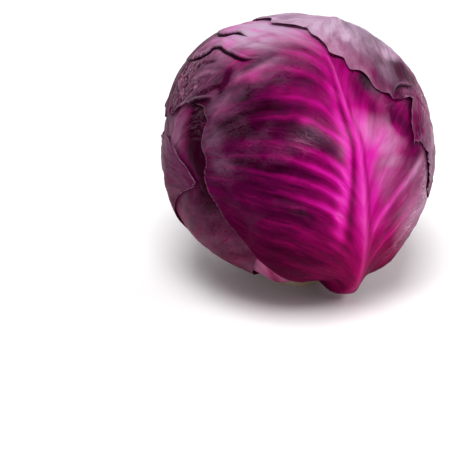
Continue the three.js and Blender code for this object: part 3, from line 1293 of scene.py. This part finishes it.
@dataclass(frozen=True)
class Head:
    """The whole head: the heart and the leaves, from the innermost to the outermost.

    Attributes:
        leaves: the leaves.
        bulges: where the head stands out from a ball: azimuth, latitude, spread in degrees, height.
        hollow: how far it draws in round the stem.
        hollow_place: angle from straight down at which it draws in most, and the spread of that.
        rings: rings of the heart.
        sides: points in each ring.
    """

    leaves: tuple[Leaf, ...]
    bulges: tuple[tuple[float, float, float, float], ...] = (
        (-110, 37, 24, 5.0 * MM),
        (-88, 2, 18, 1.2 * MM),
        (100, 18, 30, -2.0 * MM),
        (54, -52, 20, 3.0 * MM),
    )
    hollow: float = 5.5 * MM
    hollow_place: tuple[float, float] = (22, 26)
    rings: int = 120
    sides: int = 180

    def heart_radius(self, toward: np.ndarray) -> np.ndarray:
        """What is left of the head's outer shape under all the blades, kept over the stem.

        Args:
            toward: unit vectors from the head's centre.

        Returns:
            The heart's radius.
        """
        blades = sum(leaf.coverage(toward, SETTLE_FALLOFF) for leaf in self.leaves)
        radius = HEAD_RADIUS - blades * (GAP + BLADE)
        for azimuth, latitude, spread, height in self.bulges:
            middle = directions(np.array(float(azimuth)), np.array(90.0 + latitude))
            radius += height * hump(np.degrees(np.arccos(np.clip(toward @ middle, -1, 1))), 0, spread)
        radius -= self.hollow * hump(from_below_of(toward), *self.hollow_place)
        return np.minimum(radius, radius_at_level(toward, CENTRE[2] - STEM_BOX[1][2] - GAP))

    def stack_radius(self, toward: np.ndarray, count: int) -> np.ndarray:
        """Radius of the top of the first leaves: each adds its skin and a widened midrib where it lies.

        The step at a leaf's margin is quick under the next leaf and softer under each later one.

        Args:
            toward: unit vectors from the head's centre.
            count: how many leaves.

        Returns:
            The radius.
        """
        radius = self.heart_radius(toward)
        for order, leaf in enumerate(self.leaves[:count]):
            falloff = STEP_FALLOFF + (count - 1 - order) * STEP_SOFTENING
            radius = radius + leaf.coverage(toward, falloff) * (GAP + BLADE + leaf.rib(toward, RIDGE_SPREAD))
        return radius

    def build_heart(self) -> bpy.types.Object:
        """Makes the heart: a closed ball of rings round the vertical.

        Returns:
            The heart, dressed.
        """
        levels = np.linspace(1.0, 179.0, self.rings)
        around = np.linspace(0, 360, self.sides, endpoint=False)
        from_below, azimuth = np.meshgrid(levels, around, indexing="ij")
        toward = directions(azimuth, from_below)
        radius = self.heart_radius(toward)
        piece = new_object("heart_skin", at_radius(toward, radius).reshape(-1, 3), tube_faces(*radius.shape))
        plain = {"tone": 0.4, "bloom": 0.3, "streak": 0.5, "inside": FAR, "away": FAR}
        for name in FIELDS:
            add_field(piece, name, np.full(radius.size, plain.get(name, 0.0)))
        add_uv(piece, azimuth * DEGREE, from_below * DEGREE)
        return hand_over(piece, "heart", LeafSkin("heart_skin"))

    def build(self) -> None:
        """Makes the heart and every leaf."""
        self.build_heart()
        for order, leaf in enumerate(self.leaves):
            leaf.build(self, order)


# ---- the leaves of this head ---------------------------------------------------------------------
def inner_leaves() -> tuple[Leaf, ...]:
    """The six leaves under the two outer ones, from the innermost outwards.

    Returns:
        The leaves. Only the last three show their own margins.
    """
    under = LeafSkin("leaf_under")
    hidden = {"rows": 101, "columns": 81}
    side = {"rows": 171, "columns": 131, "glow": (0.12, 0.12), "bloom": 0.06}
    slant = -37  # turn of the zones that run up and to the right with the leaf at the left
    low = Outline(
        left=Outline.plain(56, 58, 166).left,
        right=((13, 7.5), (25, 20), (40, 44), (60, 66), (80, 80), (100, 84), (126, 84), (172, 60)),
        tip=(
            (-1, 146), (-0.8, 156), (-0.5, 160), (-0.3, 152), (-0.1, 138), (0, 126), (0.1, 112), (0.24, 99),
            (0.36, 95), (0.46, 96), (0.536, 101), (0.61, 108), (0.646, 111), (0.708, 114.6), (0.771, 118.8),
            (0.82, 120.1), (0.86, 120.9), (0.9, 122.5), (1, 124),
        ),
        wave=0.4,
    )
    leaf_5 = Leaf(
        "wrapper_leaf_5",
        -70,
        Outline.plain(52, 58, 166),
        under,
        tone=0.2,
        streaky=0.2,
        veins=Veins(tone=0.05),
        rib_end=90,
        crumples=(Patch(114, 17, (14, 6), 1.3, slant),),
        dry=(Patch(119, 13, (7, 5), 0.15, slant),),
        # The dark zones of tone, and the thinner wax along the slanting one, are painted shadow under the
        # front leaf's margin and its flap.
        tones=(
            Patch(112, 18, (16, 6), -0.3, slant, 2),
            Patch(127, 14, (6, 9), -0.3),
            Patch(98, 31, (18, 8), -0.3),
        ),
        blooms=(Patch(98, 0, (24, 5), 0.2), Patch(112, 22, (30, 12), -0.1, slant, 2)),
        seed=51,
        **side,
    )
    leaf_3 = Leaf(
        "wrapper_leaf_3",
        -132,
        low,
        under,
        tone=0.2,
        streaky=0.5,
        rim=0.3,
        lift=0.3 * MM,
        seed=31,
        **side,
    )
    return (
        Leaf("wrapper_leaf_8", -14, Outline.plain(56, 54, 164), under, seed=81, **hidden),
        Leaf("wrapper_leaf_7", 60, Outline.plain(54, 54, 170), under, seed=71, **hidden),
        Leaf("wrapper_leaf_6", -178, Outline.plain(56, 54, 170), under, seed=61, **hidden),
        leaf_5,
        Leaf("wrapper_leaf_4", 98, Outline.plain(56, 58, 174), under, seed=41, tone=0.3, **side),
        leaf_3,
    )


def front_folds() -> tuple[Fold, ...]:
    """Folds of the front leaf: two long creases at its upper left, a flap, and the crumpled zone below.

    Returns:
        The folds, the raised side on the left of each line.
    """
    crumpled = (
        (((-56, 53.5), (-51, 49), (-49.5, 46), (-49, 42), (-51, 38)), 0.6, 2.2),
        (((-74, 38.5), (-70.6, 41.1), (-67.9, 44.3), (-62.4, 47.1), (-56.9, 50.3)), -0.7, 1.3),
        (((-68, 40), (-65.3, 37.5), (-65.1, 34.2), (-67.6, 30), (-72.7, 25.3)), -0.7, 1.3),
        (((-62, 36), (-57.7, 38.8), (-54.5, 42.3), (-48.8, 45.5)), 0.7, 1.5),
        (((-92, 34.5), (-84, 33), (-77, 32), (-71, 31), (-65, 31.5)), -0.4, 1.1),
        (((-79, 40), (-77.7, 44.1), (-75.5, 47.5), (-71, 50.2), (-66, 52.5)), 0.7, 1.5),
        (((-88, 51), (-91, 52.7), (-89, 55), (-87, 57.2), (-77.6, 58.4), (-68, 59.5)), -0.6, 1.4),
        (((-45, 47), (-41, 51.5), (-33, 56), (-22, 62.5), (-9, 65)), -0.7, 2.2),
    )
    upper = (
        (-126, 47), (-117, 49.5), (-109, 52), (-102.5, 54.4), (-98, 56.3), (-95.5, 58), (-94, 59.8),
        (-93.2, 61.6), (-91.5, 63.2), (-86.5, 64.7), (-79, 65.8), (-72.5, 67), (-65, 68.4),
    )
    flap = ((-66, 29), (-62.6, 31.8), (-58.7, 34.9), (-53.6, 37.5), (-49.5, 38.8))
    lower = (
        (-118, 30), (-109, 33), (-100, 37), (-91, 41.5), (-88, 44.8), (-85, 48), (-83.5, 50.2), (-85.6, 51.6),
        (-83, 54), (-78.3, 55.8), (-74, 56.2), (-68.5, 56.7), (-61.7, 57.4), (-56, 57.8), (-50.4, 58.2),
        (-45.4, 59), (-39, 60.6), (-32, 62.4),
    )
    return (
        Fold(upper, 2.1 * MM, 12 * MM, fade=(0.4, 0.36)),
        Fold(flap, 1.4 * MM, 7 * MM, fade=(0.1, 0.5)),
        Fold(lower, 1.7 * MM, 12 * MM, fade=(0.3, 0.22)),
        *(Fold(line, height * MM, reach * MM, FoldKind.SOFT) for line, height, reach in crumpled),
    )


def front_tones() -> tuple[Patch, ...]:
    """Zones where the front leaf's tissue is brighter or darker than its veins make it; the bright ones right
    of the midrib and at the top are partly painted highlight.

    Returns:
        The zones.
    """
    return (
        # Painted highlight on the bulge right of the midrib, together with the wax added there.
        Patch(119, 11.5, (10, 12), 0.25, 28, 2),
        Patch(124, 26, (9, 9), -0.15),
        Patch(139, 16, (6, 4.5), -0.38, 0, 2),
        Patch(131, 15, (5, 4), 0.15),
        Patch(99, -15, (3.5, 8), -0.3, by_vein=True),
        Patch(102, -32, (5, 16), -0.12, 0, 2, by_vein=True),
        Patch(113, -30, (4, 13), -0.12, 0, 1.5, by_vein=True),
        Patch(82.5, -36, (2.6, 16), -0.16, 0, 2, by_vein=True),
        Patch(71, -36, (3, 12), -0.1, 0, 2, by_vein=True),
        Patch(62, -27, (4, 12), -0.14, 0, 2, by_vein=True),
        Patch(138, -49, (5, 7), -0.18),
        Patch(149, -38, (3.5, 5), -0.2),
        Patch(157, -32, (4, 6), 0.26),
        Patch(149, -46, (9, 5), 0.1),
        Patch(176, -55, (18, 5), -0.12),
        Patch(170, -30, (5, 4), 0.15),
        Patch(181, -27, (6, 5), 0.3),
        # The top is brighter: partly its wax, partly a painted highlight.
        Patch(190, -13, (13, 16), 0.8),
        Patch(72, 26, (30, 18), 0.2),
        Patch(135, 10, (9, 4), -0.12),
        Patch(126, 16, (7, 5), -0.1),
        Patch(125, 17, (4, 4), -0.15),
        Patch(128, 29, (6, 5), 0.2),
        Patch(134, 18, (4, 4), 0.16),
        Patch(145, -8, (5, 8), -0.05),
        Patch(166, -33, (4, 5), 0.1),
        Patch(161, -26, (5, 6), -0.1),
        Patch(126.5, -19.5, (2.5, 4), 0.18, 0, 1.5),
        Patch(127, -12, (5, 6), -0.08),
        Patch(58, -6, (16, 18), 0.04, 0, 1.5),
        Patch(134, -38, (6, 6), -0.1),
    )


def front_blooms() -> tuple[Patch, ...]:
    """Zones where the front leaf has more or less wax; the wax right of the midrib and at the top also stands
    for a painted highlight.

    Returns:
        The zones.
    """
    return (
        # Wax over the top, which also stands for a painted highlight there.
        Patch(188, -9, (20, 22), 0.9, 0, 1.5),
        # Wax and painted highlight on the bulge right of the midrib.
        Patch(119, 12.3, (8, 12), 0.36, 28, 2),
        Patch(107, 16, (3.5, 6), 0.35, 10, 1.5),
        Patch(138, 17, (6, 5), 0.12),
        Patch(61, 28, (2.5, 12), 0.35, by_vein=True),
        Patch(170, -45, (34, 16), 0.08),
        Patch(155, -48, (9, 6), 0.1, 0, 2),
        Patch(176, -55, (18, 5), -0.06),
        Patch(168, -20, (5, 5), 0.15),
        Patch(72, 34, (20, 14), 0.5),
        Patch(121, 20.3, (5, 5), -0.35, 0, 1.5),
        Patch(103, 12, (11, 6), 0.2, 0, 1.5),
        Patch(116, -6, (10, 3), 0.12),
        Patch(123, -16.5, (5.5, 7), 0.1),
        Patch(177, -23, (6, 5), 0.3),
        Patch(155, -22, (5, 10), 0.1),
        Patch(132, -57, (14, 5), 0.08, 0, 1.5),
        Patch(118, -57, (6, 6), 0.08),
        Patch(58, -14, (18, 24), -0.2, 0, 1.5),
    )


def front_leaf() -> Leaf:
    """The big front leaf, with the strong midrib that runs from the base lip to the top.

    Returns:
        The leaf.
    """
    outline = Outline(
        left=(
            (13, 7.5), (25, 13), (40, 26), (60, 44), (80, 58), (100, 64.5), (113, 65.4), (119, 63.4),
            (128, 61.2), (134, 62), (141, 60.8), (147, 58.7), (150, 56.6), (155, 55.6), (160, 54.8),
            (166, 54.6), (170, 54.6), (176, 55), (187, 57), (201, 59), (222, 58), (232, 54), (240, 47),
            (250, 40),
        ),
        right=(
            (13, 7.5), (25, 11), (40, 16), (58, 23), (70, 30), (77, 37), (90, 42), (105, 54), (125, 60),
            (160, 56), (200, 48), (240, 40),
        ),
        tip=((-1, 240), (-0.75, 246), (-0.5, 247), (0, 240), (0.5, 228), (0.75, 216), (1, 200)),
        wave=0.4,
        wave_length=17.0,
    )
    veins = Veins(
        left=(
            (22, 0.3), (32, 0.3), (43, 0.4), (54, 0.5), (62, 0.4), (71, 1), (79, 1), (87, 1), (94, 0.9),
            (107, 0.9), (117, 0.9), (131, 0.6), (144, 0.5), (158, 0.4), (172, 0.4),
        ),
        right=((22, 0.3), (43, 0.6), (61, 1), (78, 0.3), (93, 0.3), (110, 0.3), (130, 0.3), (150, 0.3)),
        left_climb=(22.0, 10.0, 0.25),
        right_climb=(22.0, 7.0, 0.6),
        height=0.6 * MM,
        pucker=0.6 * MM,
        tone=0.3,
    )
    return Leaf(
        "wrapper_leaf_2",
        25,
        outline,
        LeafSkin("leaf_front", mottle=1.1),
        midrib=(
            (13, 5.8), (25, 7.4), (36, 8.3), (54, 5.3), (69, 2.9), (89, 0.6), (108, 0.2), (115, 0.6),
            (119, 0.3), (123.5, -0.6), (128, -1.2), (134, -1.4), (142, -1.1), (157, 0), (176, -3),
            (200, -6), (232, -8),
        ),
        rib_height=(
            (13, 3.0), (20, 6.5), (25, 9.5), (30, 9.3), (36, 7.5), (45, 5.2), (60, 3.8), (80, 3.0),
            (110, 2.2), (140, 1.5), (165, 0.7), (190, 0.0),
        ),
        rib_width=(
            (13, 9), (26, 9), (38, 7.6), (55, 5.6), (80, 3.8), (110, 2.8), (140, 1.9), (165, 1.5), (190, 1.2),
        ),
        rib_end=200.0,
        veins=veins,
        folds=front_folds(),
        # Painted sheen along the midrib's sides, and a painted highlight in its crest's tone.
        flank_sheen=(0.3, 0.12),
        crest=(0.42, 0.43),
        glow=(0.6, 0.54),
        glow_reach=(19.0, 26.0),
        glow_up=(
            (20, 0.25), (45, 0.35), (62, 0.45), (74, 0.75), (86, 1.0), (110, 1.0), (128, 0.8), (150, 0.65),
            (175, 0.7), (205, 0.5),
        ),
        tone=0.14,
        bloom=0.0,
        tones=front_tones(),
        blooms=front_blooms(),
        crumples=(Patch(200, -49, (18, 10), 1.4, 0, 1.5), Patch(174, -48, (12, 8), 0.8)),
        dry=(
            Patch(205, -36, (12, 8), 0.8),
            Patch(198, -50, (20, 10), 0.6),
            Patch(86, 37, (14, 3.5), 1.2),
            Patch(74, 27, (17, 3), 1.0, 32),
            Patch(121.5, -17.5, (4.5, 6.5), 0.2),
        ),
        lift=0.45 * MM,
        rim=0.15,
        rows=321,
        columns=235,
        seed=21,
    )


def back_leaf() -> Leaf:
    """The outermost leaf, at the back and right, whose lobed margin crosses the top of the head.

    Returns:
        The leaf.
    """
    outline = Outline(
        left=(
            (13, 7.5), (25, 14), (40, 26), (55, 44), (65, 66), (75, 75), (85, 76), (105, 76), (125, 74),
            (146, 72), (156, 71), (163, 68.5), (190, 67),
        ),
        right=((13, 7.5), (25, 16), (40, 32), (60, 50), (80, 60), (100, 64), (130, 63), (160, 58), (190, 50)),
        tip=(
            (-1, 164), (-0.905, 163.3), (-0.84, 161), (-0.79, 157.5), (-0.745, 152), (-0.727, 160),
            (-0.715, 171), (-0.7, 175), (-0.67, 176.5), (-0.635, 181.3), (-0.585, 183.8), (-0.53, 183),
            (-0.476, 184.6), (-0.45, 186.5), (-0.425, 189), (-0.39, 188.2), (-0.345, 186.4), (-0.31, 188),
            (-0.27, 189.7), (-0.22, 187.6), (-0.15, 186.5), (-0.09, 186), (-0.04, 183.8), (0.005, 181.8),
            (0.08, 182.5), (0.15, 183.8), (0.22, 185), (0.28, 185.6), (0.32, 185.2), (0.36, 181.5),
            (0.42, 181), (0.6, 177), (0.8, 171), (1, 162),
        ),
        wave=0.35,
        wave_length=15.0,
        wave_phase=0.4,
    )
    curl = ((55, 39), (61.6, 41.8), (67.5, 41.2), (73.9, 38.8), (82, 35))
    return Leaf(
        "wrapper_leaf_1",
        140,
        outline,
        LeafSkin("leaf_back", bloom="#BA9CB6", mottle=1.2),
        midrib=((13, 0), (110, 3), (135, 3), (151, 2.6), (170, -3.4), (190, -4)),
        rib_end=150.0,
        folds=(Fold(curl, 1.2 * MM, 4 * MM),),
        tone=0.28,
        bloom=0.04,
        patchy=0.05,
        streaky=0.1,
        glow=(0.25, 0.25),
        tones=(
            Patch(190, -6, (10, 36), 0.14),
            Patch(172, -36, (10, 16), -0.12),
            Patch(152, -40, (14, 7), -0.2, 0, 2),
            Patch(156, -14, (14, 12), -0.22, 0, 2),
        ),
        blooms=(
            Patch(150, 14, (95, 42), 0.78, 0, 1.5),
            Patch(95, -76, (32, 12), 0.45),
            Patch(92, -46, (14, 11), 0.16),
            Patch(115, -62, (14, 8), 0.25),
            Patch(152, -40, (13, 6), -0.22, 0, 2),
            Patch(146, -24, (10, 7), 0.3, 0, 1.5),
            Patch(178, -10, (7, 9), 0.2, 0, 2),
            Patch(155, -31, (8, 4.5), 0.35, 0, 3),
            Patch(170, -27, (4, 5), -0.15, 0, 2),
            Patch(181, -30, (5, 7), -0.12, 0, 2),
        ),
        crumples=(Patch(138, -70, (32, 7), 0.9), Patch(163, -58, (9, 9), 0.7)),
        dry=(Patch(128, -50, (14, 7), 1.0), Patch(112, -60, (14, 5), 0.7)),
        lift=0.3 * MM,
        rim=0.25,
        rows=301,
        columns=241,
        seed=12,
    )


# ---- the stem ------------------------------------------------------------------------------------
@dataclass(frozen=True)
class Stem:
    """The cut stem, turned on a lathe from its box, with shallow uneven flutes down its side.

    Attributes:
        sides: points round it.
        flute: depth of the flutes.
        bevel: rounding of the cut edge.
    """

    sides: int = 96
    flute: float = 0.35 * MM
    bevel: float = 0.8 * MM

    def profile(self) -> np.ndarray:
        """The line that is turned: a flat cut face, a rounded edge, and a side that tapers with the head.

        Returns:
            Radius and height of each point, from the middle of the cut to the middle of the top.
        """
        low, high = np.array(STEM_BOX[0]), np.array(STEM_BOX[1])
        radius, top = (high[0] - low[0]) / 2, high[2] - low[2]
        slope = math.tan(math.radians(STEM_ANGLE))
        face = [(share * radius, 0.0) for share in (0.02, 0.45, 0.8)]
        edge = [(radius - 0.9 * MM, 0.0), (radius - 0.25 * MM, 0.25 * MM), (radius, self.bevel)]
        side = [(radius - share * top * slope, share * top) for share in (0.3, 0.85)]
        end = [(radius - top * slope - 1.0 * MM, top), (0.02 * radius, top)]
        return np.array(face + edge + side + end)

    def build(self) -> bpy.types.Object:
        """Makes the stem: rings of the profile, the radius waving a little with the angle round it.

        Returns:
            The stem, dressed.
        """
        radius, level = self.profile().T[..., None]
        angle = np.linspace(0, 2 * math.pi, self.sides, endpoint=False)
        wave = self.flute * (np.sin(5 * angle) + 0.6 * np.sin(9 * angle + 1.0)) / 1.6 - self.flute
        side = smoothstep(radius / radius.max() * 2 - 1)
        r = radius + wave * side
        height = STEM_BOX[0][2] + level + 0 * angle
        points = np.stack([r * np.sin(angle), -r * np.cos(angle), height], axis=-1)
        piece = new_object("stem_cut", points.reshape(-1, 3), tube_faces(*r.shape))
        return hand_over(piece, "stem", CutStem())


# ---- the studio ----------------------------------------------------------------------------------
@dataclass(frozen=True)
class SoftBox:
    """A square soft light that faces the head.

    Attributes:
        name: its name.
        place: where it hangs.
        size: length of its side.
        power: watts.
    """

    name: str
    place: tuple[float, float, float]
    size: float
    power: float

    def build(self) -> None:
        """Hangs the light and turns it to the head's centre, by the two angles of the line between them."""
        data = bpy.data.lights.new(self.name, "AREA")
        data.size, data.energy = self.size, self.power
        lamp = bpy.data.objects.new(self.name, data)
        lamp.location = self.place
        aim = CENTRE - np.array(self.place)
        flat = math.hypot(aim[0], aim[1])
        lamp.rotation_euler = (math.atan2(flat, -aim[2]), 0.0, math.atan2(-aim[0], aim[1]))
        bpy.context.collection.objects.link(lamp)


@dataclass(frozen=True)
class Studio:
    """White table top, soft lights and the camera.

    Attributes:
        distance: camera to the head's centre.
        elevation: camera's angle above the head's centre.
        right: how far the head's centre stands right of the view's middle, in view widths.
        above: the same above it.
        lens: focal length in millimetres.
        sensor: width of the sensor in millimetres.
        ambient: strength of the white surroundings as light.
        table: half width of the table top.
        lamps: the lights.
    """

    distance: float = 0.95
    elevation: float = 25.0
    right: float = 0.163
    above: float = 0.166
    lens: float = 138.4
    sensor: float = 36.0
    ambient: float = 0.36
    table: float = 3.0
    lamps: tuple[SoftBox, ...] = (
        SoftBox("soft_box_top", (-0.2, -1.7, 3.9), 2.0, 160.0),
        SoftBox("soft_box_right", (3.0, -1.2, 2.4), 1.4, 30.0),
        SoftBox("soft_box_back", (2.2, 2.4, 1.6), 1.6, 32.0),
    )

    def camera(self) -> None:
        """Aims the camera so that the head's centre falls at its place in the view."""
        data = bpy.data.cameras.new("camera")
        data.lens, data.sensor_width = self.lens, self.sensor
        camera = bpy.data.objects.new("camera", data)
        bpy.context.collection.objects.link(camera)
        rise = math.radians(self.elevation)
        camera.location = CENTRE + self.distance * np.array([0.0, -math.cos(rise), math.sin(rise)])
        pitch = rise + math.atan(self.above * self.sensor / self.lens)
        yaw = math.atan(self.right * self.sensor / self.lens / math.cos(pitch))
        camera.rotation_euler = (math.pi / 2 - pitch, 0.0, yaw)
        bpy.context.scene.camera = camera

    def world(self) -> None:
        """White to the camera and a softer grey-white as light."""
        world = bpy.data.worlds.new("world")
        bpy.context.scene.world = world
        t = Tree(world)
        seen = t.add("LightPath", output="Is Camera Ray")
        strength = t.add("MapRange", seen, 0.0, 1.0, self.ambient, 1.0)
        t.add("OutputWorld", t.add("Background", linear("#FFFFFF"), strength))

    def floor(self) -> None:
        """A wide plain table top that keeps the head's shadow."""
        turns = ((-1, -1, 0), (1, -1, 0), (1, 1, 0), (-1, 1, 0))
        table = new_object("table_top", self.table * np.array(turns, dtype=float), [np.array([[0, 1, 2, 3]])])
        material = bpy.data.materials.new("table_white")
        t = Tree(material)
        surface = {"Base Color": linear("#FCFBFC"), "Roughness": 0.6, "Specular IOR Level": 0.2}
        t.add("OutputMaterial", t.add("BsdfPrincipled", named=surface))
        table.data.materials.append(material)

    def build(self) -> None:
        """Sets the table, the sky, the lights, the camera and the view transform."""
        self.floor()
        self.world()
        for lamp in self.lamps:
            lamp.build()
        self.camera()
        bpy.context.scene.view_settings.view_transform = "Standard"


def main() -> None:
    """Builds the head, its stem and the studio."""
    logging.basicConfig(level=logging.INFO, format="%(name)s: %(message)s")
    Head((*inner_leaves(), front_leaf(), back_leaf())).build()
    Stem().build()
    Studio().build()


if __name__ == "__main__":
    main()
